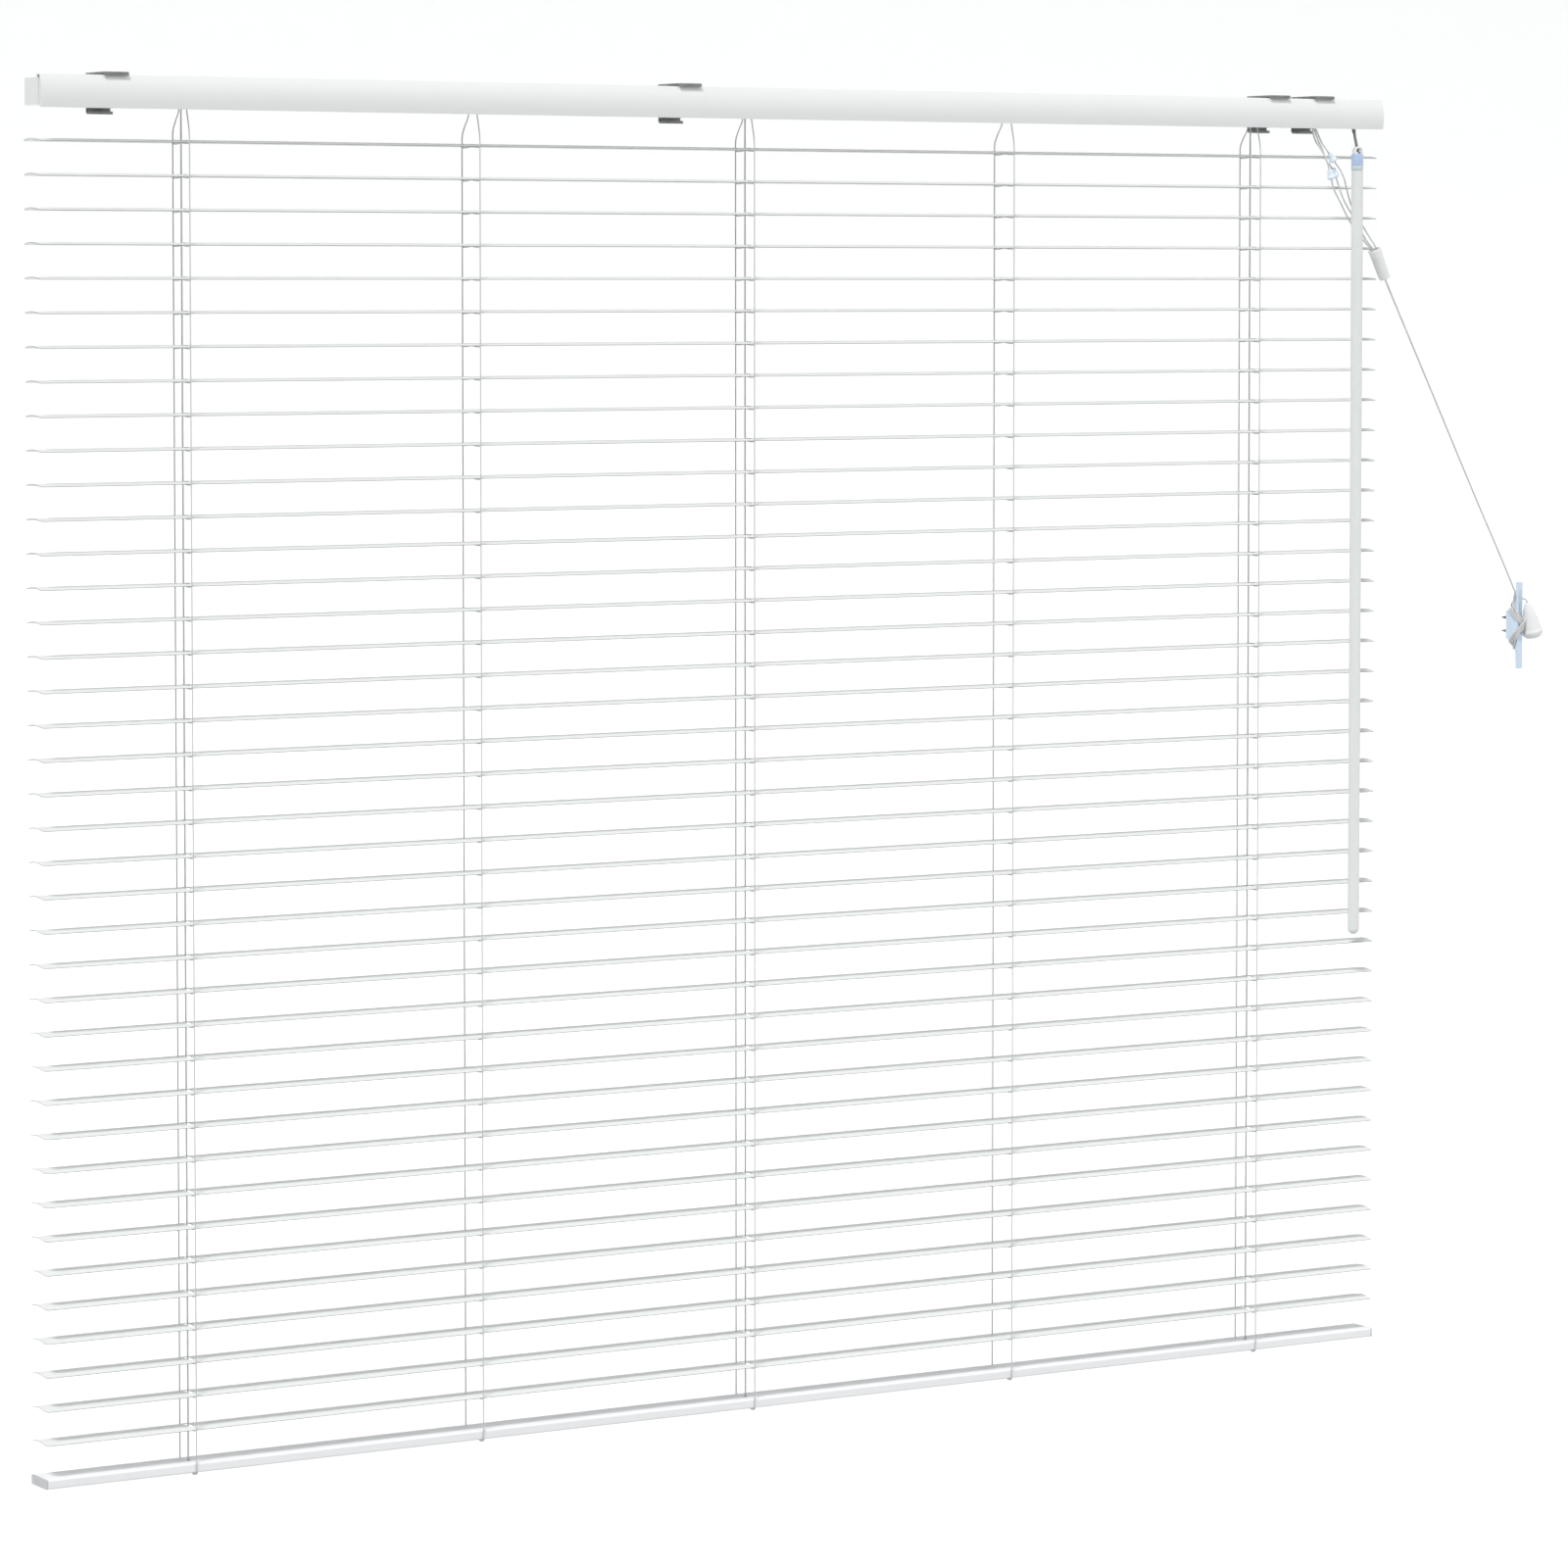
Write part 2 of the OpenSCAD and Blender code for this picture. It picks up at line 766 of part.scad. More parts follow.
// Side view of the cleat as (y, z): two long horns on a post that spreads to its foot
cleat_horn_t = 2.7;
cleat_outline = [
    [cleat_front, -373], [cleat_front + cleat_horn_t, -373], [0.3, -380], [1.6, -390],
    [4, -393.6], [9.5, -395.4], [wall_y, -395.9], [wall_y, -417.5], [9.5, -418.4],
    [3.4, -422.4], [1, -427], [0.2, -433.5], [cleat_front + cleat_horn_t, -440.5],
    [cleat_front, -440.5]];

module cleat() {
    color("lightblue")
        difference() {
            along_x(cleat_x - cleat_w / 2, cleat_x + cleat_w / 2)
                polygon(cleat_outline);
            for (s = [-1, 1])
                translate([cleat_x, 0, cleat_mid_z + s * cleat_screw_gap / 2])
                    rotate([-90, 0, 0]) {
                        translate([0, 0, cleat_front - 1])
                            cylinder(r = cleat_screw_r + 0.1, h = 20);
                        translate([0, 0, cleat_front - 1])
                            cylinder(r = 2.1, h = 3.1);
                    }
        }
}

module cleat_screws() {
    thread_l = 19.8;
    tip_l = 4;
    color("gray")
        for (s = [-1, 1])
            translate([cleat_x, cleat_front + 0.3, cleat_mid_z + s * cleat_screw_gap / 2])
                rotate([-90, 0, 0]) {
                    cylinder(r = 2, h = 1.6);
                    cylinder(r = cleat_screw_r, h = thread_l + EPS);
                    translate([0, 0, thread_l])
                        cylinder(r1 = cleat_screw_r, r2 = 0.25, h = tip_l);
                }
}

// The cord wound on the cleat: one closed block of its outer shape, hollow where the cleat is
module cord_wrap() {
    gap = 0.2;
    color("gainsboro")
        difference() {
            translate([cleat_x, 1.6, cleat_mid_z])
                rotate([90, 0, 0])
                    linear_extrude(height = 13, center = true)
                        round_slot(wrap_h, wrap_w);
            translate([cleat_x - cleat_w / 2 - gap, 0, 0])
                rotate([90, 0, 90])
                    linear_extrude(height = cleat_w + 2 * gap) {
                        rect([cleat_front - gap, -450], [cleat_front + cleat_horn_t + gap, -370]);
                        rect([-1, cleat_mid_z - 15.3], [20, cleat_mid_z + 15.3]);
                        rect([-1, cleat_mid_z - 18], [4.6, cleat_mid_z + 18]);
                    }
        }
}

module tassel() {
    // half outline of the acorn, from its narrow top to its round bottom
    flank = [[0, 0], [1.9, 0], [2.6, -1.6], [3.9, -6], [5.4, -11], [6.9, -16], [7.8, -20]];
    round_r = 5;
    round_z = round_r - tassel_l;
    bottom = [for (a = [0 : 15 : 90])
        [tassel_r - round_r + round_r * cos(a), round_z - round_r * sin(a)]];
    color("white")
        translate(tassel_top)
            rotate([0, -tassel_lean, 0])
                difference() {
                    rotate_extrude()
                        polygon(concat(flank, bottom, [[0, -tassel_l]]));
                    translate([0, 0, -8])
                        cylinder(r = 1, h = 10);
                }
}

// ================================================================= drawing

headrail();
front_cover();
head_end_caps();
mounting_brackets();
tilt_rod();
rod_fittings();
rod_supports();
tilter_worm();
wand_connector();
wand();
cord_lock();
ladder_front();
ladder_back();
lift_cords();
bottom_rail();
rail_fittings();
cord_wrap();
cord_fittings();
cleat();
cleat_screws();
tassel();
for (n = [1 : slat_count])
    slat(n);
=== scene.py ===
"""Looks of a 25 mm venetian blind: cords, ladders, cord fittings, materials, light and camera.

Everything is in metres in the part's frame: the origin is on the ceiling plane above the middle
of the slats, +X runs right along them, +Y goes to the wall and +Z up. Routes, turned outlines
and other bare lists of points are in millimetres, and are scaled by MM where they are used.
"""
import json
import math

import bmesh
import bpy
from mathutils import Matrix, Vector


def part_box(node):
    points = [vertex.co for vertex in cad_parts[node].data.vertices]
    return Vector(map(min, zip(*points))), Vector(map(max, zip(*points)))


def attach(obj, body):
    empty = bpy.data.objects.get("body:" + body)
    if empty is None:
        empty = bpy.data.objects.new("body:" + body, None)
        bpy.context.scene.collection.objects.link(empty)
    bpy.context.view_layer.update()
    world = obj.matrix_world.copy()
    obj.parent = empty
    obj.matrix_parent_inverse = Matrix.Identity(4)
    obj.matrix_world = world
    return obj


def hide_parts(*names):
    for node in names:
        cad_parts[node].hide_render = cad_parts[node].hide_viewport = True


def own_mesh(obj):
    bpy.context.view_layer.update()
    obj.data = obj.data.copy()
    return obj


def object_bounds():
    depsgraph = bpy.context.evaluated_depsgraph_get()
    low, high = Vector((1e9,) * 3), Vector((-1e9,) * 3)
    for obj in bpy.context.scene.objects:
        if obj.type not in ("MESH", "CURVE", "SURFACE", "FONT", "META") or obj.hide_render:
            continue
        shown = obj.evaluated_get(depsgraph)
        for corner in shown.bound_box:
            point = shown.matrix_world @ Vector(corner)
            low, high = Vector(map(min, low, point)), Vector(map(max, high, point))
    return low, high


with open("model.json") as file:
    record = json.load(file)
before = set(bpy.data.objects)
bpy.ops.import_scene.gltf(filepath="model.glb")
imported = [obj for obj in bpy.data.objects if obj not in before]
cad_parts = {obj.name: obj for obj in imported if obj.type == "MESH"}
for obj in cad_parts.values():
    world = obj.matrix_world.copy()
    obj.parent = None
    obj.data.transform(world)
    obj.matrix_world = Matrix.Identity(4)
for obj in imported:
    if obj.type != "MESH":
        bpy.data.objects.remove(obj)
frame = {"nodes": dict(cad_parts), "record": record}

MM = 0.001
CAD_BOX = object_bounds()
NODES = frame["nodes"]
SHARP_ANGLE = math.radians(40)   # faces that meet at more than this keep a crisp edge

# ------------------------------------------------------------------ places from the frame
SLATS = sorted(name for name in NODES if name.startswith("slat_"))
SLAT_LOW, SLAT_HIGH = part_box("slat_01")
HALF_DEPTH = SLAT_HIGH.y
SLAT_THICKNESS = 0.35 * MM
FIRST_Z = SLAT_LOW.z + SLAT_THICKNESS
PITCH = (SLAT_LOW.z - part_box(SLATS[-1])[0].z) / (len(SLATS) - 1)
RAIL_LOW, RAIL_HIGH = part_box("bottom_rail")
RAIL_MID_Z = (RAIL_LOW.z + RAIL_HIGH.z) / 2
HEAD_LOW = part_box("headrail")[0]
ROD_LOW, ROD_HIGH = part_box("tilt_rod")
ROD_Y = (ROD_LOW.y + ROD_HIGH.y) / 2
ROD_Z = (ROD_LOW.z + ROD_HIGH.z) / 2
LADDER_LOW, LADDER_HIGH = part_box("ladder_front")
LADDER_R = 0.45 * MM
STATION_STEP = (LADDER_HIGH.x - LADDER_LOW.x - 2 * LADDER_R) / 4
STATIONS = [i * STATION_STEP for i in (-2, -1, 0, 1, 2)]     # x of the five ladders
LIFT_STATIONS = STATIONS[::2]                                # x of the three lift cords
LADDER_Y = HALF_DEPTH + 0.7 * MM                             # ladder cords, off the slats
DRUM_Y = 6 * MM                                              # and at the drums, off the rod
CLEAT_LOW, CLEAT_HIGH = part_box("cleat")
CLEAT_X = (CLEAT_LOW.x + CLEAT_HIGH.x) / 2
WAND_LOW, WAND_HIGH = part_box("wand")
WAND_AXIS = Vector(((WAND_LOW.x + WAND_HIGH.x) / 2, (WAND_LOW.y + WAND_HIGH.y) / 2, 0))
LIFT_R = 0.6 * MM
DRAW_R = 0.7 * MM
RUNG_R = 0.3 * MM
BRAID = 0.07                     # how far the free cords' strands stand out, in radii
PLAIT = 3.2                      # length of one plait along a cord, in radii


# ------------------------------------------------------------------ camera
def make_camera():
    """At the fifth slat's height, well in front and to the left, turned right and a little down."""
    yaw = math.radians(31.138)
    pitch = math.radians(3.074)
    data = bpy.data.cameras.new("camera")
    data.sensor_width = 36
    data.lens = 133.962
    data.shift_y = -0.12
    data.clip_end = 50
    camera = bpy.data.objects.new("camera", data)
    bpy.context.scene.collection.objects.link(camera)
    camera.location = (-2.1346, -3.5871, -0.1403)
    camera.rotation_euler = (math.pi / 2 - pitch, 0, -yaw)
    bpy.context.scene.camera = camera


make_camera()

# ------------------------------------------------------------------ free cords' routes, in mm
LEFT_END = [
    (494, -8.1, -22.6), (494, -9.4, -28), (494.6, -12.2, -34), (496.8, -15.2, -39.5),
    (499.2, -17.2, -45), (501.6, -18.3, -52), (503.6, -18.6, -59), (506.8, -18.2, -69),
    (515.4, -16.4, -81), (523.2, -13.9, -90.6), (531, -13.65, -101), (537.9, -14.9, -108.6),
    (543.6, -17.7, -115.8), (545.6, -18, -119)]
MIDDLE_END = [
    (494, -9.6, -22.6), (495.2, -10.9, -28), (497, -12.4, -34), (500.2, -13.7, -41),
    (502.8, -13.7, -47.4), (507.2, -13.7, -52.4), (510.6, -14, -57.4), (514, -14.6, -66.4),
    (519.4, -14.4, -78), (526.2, -13.65, -87), (534, -13.65, -97.4), (538.8, -14.8, -106.4),
    (545.4, -16.3, -115), (547, -16.8, -118.6)]
RIGHT_END = [
    (494, -11.1, -22.6), (496.2, -12.3, -28), (498.6, -13.4, -34), (502.2, -15.2, -40),
    (506.5, -16.2, -46), (509.4, -16.8, -50), (513.6, -17.2, -55), (517.8, -17, -62.4),
    (521.4, -15.5, -70.4), (526.4, -13.65, -80.6), (532, -13.65, -89.8), (537.6, -14.6, -98.2),
    (543.8, -17, -108.4), (547.2, -18.3, -114.2), (548.7, -18.2, -118)]
DRAW_ROUTE = [
    (554.5, -18.2, -135), (555.7, -18.2, -137.6), (557.2, -18, -140.4), (600, -13, -214.6),
    (650, -7, -301.5), (695, -2.2, -379.6), (697, 0.6, -384.6)]
LOCK_PATH = [(474, -20.2), (489.5, -11.35), (491, -10.95), (493.1, -11.8), (494, -14)]   # x, z
BEADS = {                        # place of a stop bead's middle, and its lean in degrees
    "right": ((506.5, -16.2, -46), 36),
    "middle": ((510.6, -14, -57.4), 26),
    "left": ((503.6, -18.6, -59), 15)}
CONDENSER_TOP = (545.4, -18.2, -115)
CONDENSER_LEAN = 24.5
CONDENSER_L = 24.8
TASSEL_TOP = (707.9, -1.6, -389.3)
TASSEL_LEAN = 13
TASSEL_L = 28.4
# Each turn on the cleat: y behind the horns, and z at the upper, lower and upper horn.
WOUND_TURNS = ((2.4, -390.4, -425.1, -392.9), (4.2, -392.9, -422.5, -393.5),
               (6.0, -393.5, -421.4, -394.0), (7.6, -394.0, -420.3, -394.4))


def metres(points):
    return [Vector(p) * MM for p in points]


# ------------------------------------------------------------------ mesh helpers
def shade_smooth(mesh, sharp=SHARP_ANGLE):
    mesh.polygons.foreach_set("use_smooth", [True] * len(mesh.polygons))
    mesh.set_sharp_from_angle(angle=sharp)


def add_object(name, vertices, faces):
    mesh = bpy.data.meshes.new(name)
    mesh.from_pydata([tuple(v) for v in vertices], [], faces)
    mesh.validate()
    shade_smooth(mesh)
    obj = bpy.data.objects.new(name, mesh)
    bpy.context.scene.collection.objects.link(obj)
    return obj


def smooth_path(points, step):
    """A smooth curve through the points (Catmull-Rom), with a point about every step."""
    padded = [2 * points[0] - points[1], *points, 2 * points[-1] - points[-2]]
    path = []
    for a, b, c, d in zip(padded, padded[1:], padded[2:], padded[3:]):
        count = max(1, round((c - b).length / step))
        scale = (c - b).length
        before = (c - a) / max((b - a).length + scale, 1e-9) * scale
        after = (d - b) / max((d - c).length + scale, 1e-9) * scale
        for k in range(count):
            t = k / count
            path.append((2 * t**3 - 3 * t**2 + 1) * b + (t**3 - 2 * t**2 + t) * before
                        + (3 * t**2 - 2 * t**3) * c + (t**3 - t**2) * after)
    path.append(points[-1])
    return path


def frames_along(path):
    """A pair of side directions at each point of a path, carried along it without twisting."""
    headings = []
    for i in range(len(path)):
        ahead = path[min(i + 1, len(path) - 1)] - path[max(i - 1, 0)]
        headings.append(ahead.normalized())
    side = headings[0].orthogonal().normalized()
    frames = []
    for heading in headings:
        side = (side - heading * side.dot(heading)).normalized()
        frames.append((side, heading.cross(side)))
    return frames


def tube_mesh(paths, radius, sides, braid):
    """Vertices and faces of closed round tubes along paths, with a UV that runs round and along.

    braid raises the crossing strands of a braided cord, as a share of the radius."""
    vertices, faces, uvs = [], [], []
    plait = PLAIT * radius
    for path in paths:
        start = len(vertices)
        run = 0.0
        for i, (point, (a, b)) in enumerate(zip(path, frames_along(path))):
            run += (point - path[i - 1]).length if i else 0.0
            for k in range(sides):
                angle = 2 * math.pi * k / sides
                turn = 2 * math.pi * run / plait
                wave = math.cos(2 * angle + turn) * math.cos(2 * angle - turn)
                r = radius * (1 - braid + braid * abs(wave))
                vertices.append(point + r * (math.cos(angle) * a + math.sin(angle) * b))
                uvs.append((k / sides, run / plait))
        rings = len(path)
        for i in range(rings - 1):
            for k in range(sides):
                n = (k + 1) % sides
                low = start + i * sides
                faces.append((low + k, low + n, low + sides + n, low + sides + k))
        faces.append(tuple(start + k for k in reversed(range(sides))))
        faces.append(tuple(start + (rings - 1) * sides + k for k in range(sides)))
    return vertices, faces, uvs


def tube(name, paths, radius, sides=10, braid=0.0):
    """One object of round tubes along paths. The UV seam's last strip ends at 1, not at 0."""
    vertices, faces, uvs = tube_mesh(paths, radius, sides, braid)
    obj = add_object(name, vertices, faces)
    layer = obj.data.uv_layers.new(name="cord")
    for polygon in obj.data.polygons:
        wraps = max(uvs[v][0] for v in polygon.vertices) > 0.8
        for loop, v in zip(polygon.loop_indices, polygon.vertices):
            around, along = uvs[v]
            layer.data[loop].uv = (around + 1 if wraps and around < 0.2 else around, along)
    return obj


def lathe(name, outline, steps=64, flute=None):
    """A turned piece: the outline is (radius, height) in mm, and flute(angle, height) scales it."""
    vertices, faces = [], []
    for r, z in outline:
        for k in range(steps):
            angle = 2 * math.pi * k / steps
            wide = r * flute(angle, z) if flute else r
            vertices.append(Vector((wide * math.cos(angle), wide * math.sin(angle), z)) * MM)
    for i in range(len(outline) - 1):
        for k in range(steps):
            n = (k + 1) % steps
            faces.append((i * steps + k, (i + 1) * steps + k, (i + 1) * steps + n, i * steps + n))
    if outline[0][0] > 0.01:
        faces.append(tuple(range(steps)))
    if outline[-1][0] > 0.01:
        faces.append(tuple(reversed(range((len(outline) - 1) * steps, len(outline) * steps))))
    obj = add_object(name, vertices, faces)
    tidy(obj)
    return obj


def tidy(obj):
    """Merges doubled points, drops faces without area and turns all faces outwards."""
    same = 0.0005 * MM
    bm = bmesh.new()
    bm.from_mesh(obj.data)
    bmesh.ops.remove_doubles(bm, verts=bm.verts, dist=same)
    bmesh.ops.dissolve_degenerate(bm, edges=bm.edges, dist=same)
    bmesh.ops.recalc_face_normals(bm, faces=bm.faces)
    bm.to_mesh(obj.data)
    bm.free()
    obj.data.set_sharp_from_angle(angle=SHARP_ANGLE)


def arc(cx, cz, r, start, end, count):
    """Points of an arc in an outline, in mm and degrees."""
    angles = [math.radians(start + (end - start) * k / count) for k in range(count + 1)]
    return [(cx + r * math.cos(a), cz + r * math.sin(a)) for a in angles]


def place(obj, at, lean):
    """Moves a turned piece's origin to a point in mm and leans its lower end towards +X."""
    turn = Matrix.Rotation(math.radians(-lean), 4, "Y")
    obj.data.transform(Matrix.Translation(Vector(at) * MM) @ turn)


# ------------------------------------------------------------------ materials
def new_material(name):
    material = bpy.data.materials.new(name)
    material.use_nodes = True
    tree = material.node_tree
    shader = tree.nodes["Principled BSDF"]
    return material, tree, shader


def node(tree, kind, **values):
    made = tree.nodes.new(kind)
    for key, value in values.items():
        setattr(made, key, value)
    return made


def colour_mix(tree, first, second):
    made = node(tree, "ShaderNodeMix", data_type="RGBA")
    made.inputs["A"].default_value = (*first, 1)
    made.inputs["B"].default_value = (*second, 1)
    return made


def noise(tree, scale, detail, stretch=(1, 1, 1)):
    """Noise in the part's own metres, drawn out along one or two directions."""
    where = node(tree, "ShaderNodeTexCoord")
    mapping = node(tree, "ShaderNodeMapping")
    mapping.inputs["Scale"].default_value = stretch
    texture = node(tree, "ShaderNodeTexNoise")
    texture.inputs["Scale"].default_value = scale
    texture.inputs["Detail"].default_value = detail
    tree.links.new(where.outputs["Object"], mapping.inputs["Vector"])
    tree.links.new(mapping.outputs["Vector"], texture.inputs["Vector"])
    return texture


def vary(tree, texture, low, high, target):
    """Lets a texture set a colour or a number between two ends."""
    ramp = node(tree, "ShaderNodeMapRange")
    ramp.inputs["From Min"].default_value = 0.3
    ramp.inputs["From Max"].default_value = 0.7
    tree.links.new(texture.outputs["Fac"], ramp.inputs["Value"])
    if isinstance(low, tuple):
        mix = colour_mix(tree, low, high)
        tree.links.new(ramp.outputs["Result"], mix.inputs["Factor"])
        tree.links.new(mix.outputs["Result"], target)
    else:
        ramp.inputs["To Min"].default_value = low
        ramp.inputs["To Max"].default_value = high
        tree.links.new(ramp.outputs["Result"], target)


def bump(tree, height, strength, distance, shader):
    made = node(tree, "ShaderNodeBump")
    made.inputs["Strength"].default_value = strength
    made.inputs["Distance"].default_value = distance
    tree.links.new(height, made.inputs["Height"])
    tree.links.new(made.outputs["Normal"], shader.inputs["Normal"])


def painted_edge_shade(tree, colour, target):
    """Paints shade on a flat sheet's narrow edges: a darker colour where the surface faces
    sideways. Returns the input for its faces' colour.
    """
    where = node(tree, "ShaderNodeTexCoord")
    split = node(tree, "ShaderNodeSeparateXYZ")
    size = node(tree, "ShaderNodeMath", operation="ABSOLUTE")
    ramp = node(tree, "ShaderNodeMapRange")
    ramp.inputs["From Min"].default_value = 0.4
    ramp.inputs["From Max"].default_value = 0.7
    mix = colour_mix(tree, colour, colour)
    tree.links.new(where.outputs["Normal"], split.inputs["Vector"])
    tree.links.new(split.outputs["Z"], size.inputs[0])
    tree.links.new(size.outputs["Value"], ramp.inputs["Value"])
    tree.links.new(ramp.outputs["Result"], mix.inputs["Factor"])
    tree.links.new(mix.outputs["Result"], target)
    return mix.inputs["B"]


def enamel(name, light, dark, roughness=0.38, edges=None):
    """Baked enamel on rolled strip: faint marks along the roll, and a fine orange peel. edges, if
    given, is a painted shade colour for the narrow edges.
    """
    material, tree, shader = new_material(name)
    shader.inputs["Coat Weight"].default_value = 0.12
    shader.inputs["Coat Roughness"].default_value = 0.3
    shader.inputs["IOR"].default_value = 1.5
    rolled = noise(tree, 60, 4, (0.05, 1, 1))
    base = shader.inputs["Base Color"]
    # painted shade: a darker outline on the sheet's narrow edges
    if edges:
        base = painted_edge_shade(tree, edges, base)
    vary(tree, rolled, dark, light, base)
    vary(tree, noise(tree, 220, 2, (0.2, 1, 1)), roughness - 0.05, roughness + 0.07,
         shader.inputs["Roughness"])
    bump(tree, noise(tree, 900, 2).outputs["Fac"], 0.05, 0.05 * MM, shader)
    return material


def plastic(name, light, dark, roughness=0.35, clear=0.0):
    """Moulded plastic with a fine moulding grain. clear lets light through a pale part."""
    material, tree, shader = new_material(name)
    shader.inputs["IOR"].default_value = 1.49
    shader.inputs["Transmission Weight"].default_value = clear
    vary(tree, noise(tree, 60, 2), dark, light, shader.inputs["Base Color"])
    vary(tree, noise(tree, 500, 2), roughness - 0.03, roughness + 0.04, shader.inputs["Roughness"])
    bump(tree, noise(tree, 900, 2).outputs["Fac"], 0.03, 0.04 * MM, shader)
    return material


def metal(name, light, dark, roughness, stretch):
    """Plated or drawn steel: fine lines along one direction, with cloudy plating."""
    material, tree, shader = new_material(name)
    shader.inputs["Metallic"].default_value = 0.85
    vary(tree, noise(tree, 120, 4, stretch), dark, light, shader.inputs["Base Color"])
    vary(tree, noise(tree, 500, 3, stretch), roughness - 0.08, roughness + 0.1,
         shader.inputs["Roughness"])
    bump(tree, noise(tree, 1500, 2, stretch).outputs["Fac"], 0.12, 0.05 * MM, shader)
    return material


def braided(name, light, dark):
    """Braided cord: strands that cross round the cord, with painted shade in the valleys between
    them.
    """
    material, tree, shader = new_material(name)
    shader.inputs["Roughness"].default_value = 0.75
    shader.inputs["Sheen Weight"].default_value = 0.25
    shader.inputs["Sheen Roughness"].default_value = 0.5
    along = node(tree, "ShaderNodeUVMap", uv_map="cord")
    waves = []
    for lean in (1, -1):
        mapping = node(tree, "ShaderNodeMapping")
        mapping.inputs["Scale"].default_value = (2, lean, 1)
        split = node(tree, "ShaderNodeSeparateXYZ")
        added = node(tree, "ShaderNodeMath", operation="ADD")
        turned = node(tree, "ShaderNodeMath", operation="MULTIPLY")
        turned.inputs[1].default_value = 2 * math.pi
        wave = node(tree, "ShaderNodeMath", operation="COSINE")
        tree.links.new(along.outputs["UV"], mapping.inputs["Vector"])
        tree.links.new(mapping.outputs["Vector"], split.inputs["Vector"])
        tree.links.new(split.outputs["X"], added.inputs[0])
        tree.links.new(split.outputs["Y"], added.inputs[1])
        tree.links.new(added.outputs["Value"], turned.inputs[0])
        tree.links.new(turned.outputs["Value"], wave.inputs[0])
        waves.append(wave)
    crossed = node(tree, "ShaderNodeMath", operation="MULTIPLY")
    strands = node(tree, "ShaderNodeMath", operation="ABSOLUTE")
    tree.links.new(waves[0].outputs["Value"], crossed.inputs[0])
    tree.links.new(waves[1].outputs["Value"], crossed.inputs[1])
    tree.links.new(crossed.outputs["Value"], strands.inputs[0])
    # painted shade: the darker colour fills the valleys between the strands
    mix = colour_mix(tree, dark, light)
    tree.links.new(strands.outputs["Value"], mix.inputs["Factor"])
    tree.links.new(mix.outputs["Result"], shader.inputs["Base Color"])
    bump(tree, strands.outputs["Value"], 0.4, 0.1 * MM, shader)
    return material


# Each colour varies between a lighter and a darker one, in that order.
MATERIALS = {
    # The slats' edge colour is painted shade: a dark grey outline on all their narrow edges.
    "slat_white": enamel("slat enamel", (0.77, 0.785, 0.78), (0.74, 0.755, 0.75),
                         edges=(0.25, 0.255, 0.255)),
    "cover_white": enamel("cover enamel", (0.81, 0.82, 0.82), (0.785, 0.795, 0.795), 0.42),
    "rail_white": enamel("rail enamel", (0.84, 0.85, 0.86), (0.81, 0.82, 0.83), 0.4),
    "rail_end": plastic("rail end plastic", (0.56, 0.57, 0.58), (0.50, 0.51, 0.52), 0.5),
    "white_plastic": plastic("white plastic", (0.81, 0.81, 0.81), (0.79, 0.79, 0.79)),
    "bracket_steel": metal("bracket steel", (0.34, 0.345, 0.34), (0.24, 0.245, 0.24), 0.42,
                           (1, 1, 0.1)),
    "rod_steel": metal("rod steel", (0.6, 0.6, 0.61), (0.5, 0.5, 0.51), 0.35, (0.05, 1, 1)),
    "wand_plastic": plastic("wand plastic", (0.76, 0.785, 0.775), (0.745, 0.77, 0.76), 0.3),
    "blue_plastic": plastic("blue plastic", (0.53, 0.66, 0.89), (0.50, 0.63, 0.86), 0.25, 0.1),
    # For both cords the darker colour is painted shade in the braid's valleys.
    "cord": braided("lift cord", (0.80, 0.80, 0.80), (0.50, 0.50, 0.51)),
    "ladder_cord": braided("ladder string", (0.72, 0.72, 0.73), (0.46, 0.46, 0.47)),
    "screw_steel": metal("screw steel", (0.34, 0.34, 0.35), (0.2, 0.2, 0.21), 0.4, (1, 0.1, 1)),
}
CLEAR_SKIRT = plastic("skirt plastic", (0.70, 0.82, 0.86), (0.68, 0.80, 0.84), 0.2, 0.15)
PALE_BLUE = plastic("pale blue plastic", (0.66, 0.79, 0.92), (0.63, 0.76, 0.90), 0.28)
BEAD_BLUE = plastic("bead plastic", (0.76, 0.85, 0.93), (0.73, 0.83, 0.92), 0.22)


def dress(obj, slot_name, material=None):
    """Gives a piece the material of a slot, or another one of its kind."""
    obj.data.materials.clear()
    obj.data.materials.append(material or MATERIALS[slot_name])


def dress_cad_nodes():
    for row in frame["record"]["subparts"]:
        obj = NODES[row["node"]]
        material = MATERIALS[row["material_slot"]]
        for slot in obj.material_slots:
            slot.material = material


dress_cad_nodes()


# ------------------------------------------------------------------ ladders
def ladder_top(side, x):
    """From the drum, out of the headrail's floor and outwards to the slats' edge."""
    drum = ROD_Y + side * DRUM_Y
    return [Vector((x, drum, ROD_Z)), Vector((x, drum, HEAD_LOW.z)),
            Vector((x, drum + side * 0.6 * MM, HEAD_LOW.z - 3 * MM)),
            Vector((x, side * (abs(drum) + LADDER_Y) / 2, HEAD_LOW.z - 8.4 * MM)),
            Vector((x, side * (LADDER_Y - 0.5 * MM), FIRST_Z + 8 * MM)),
            Vector((x, side * LADDER_Y, FIRST_Z)),
            Vector((x, side * LADDER_Y, FIRST_Z - 20 * MM))]


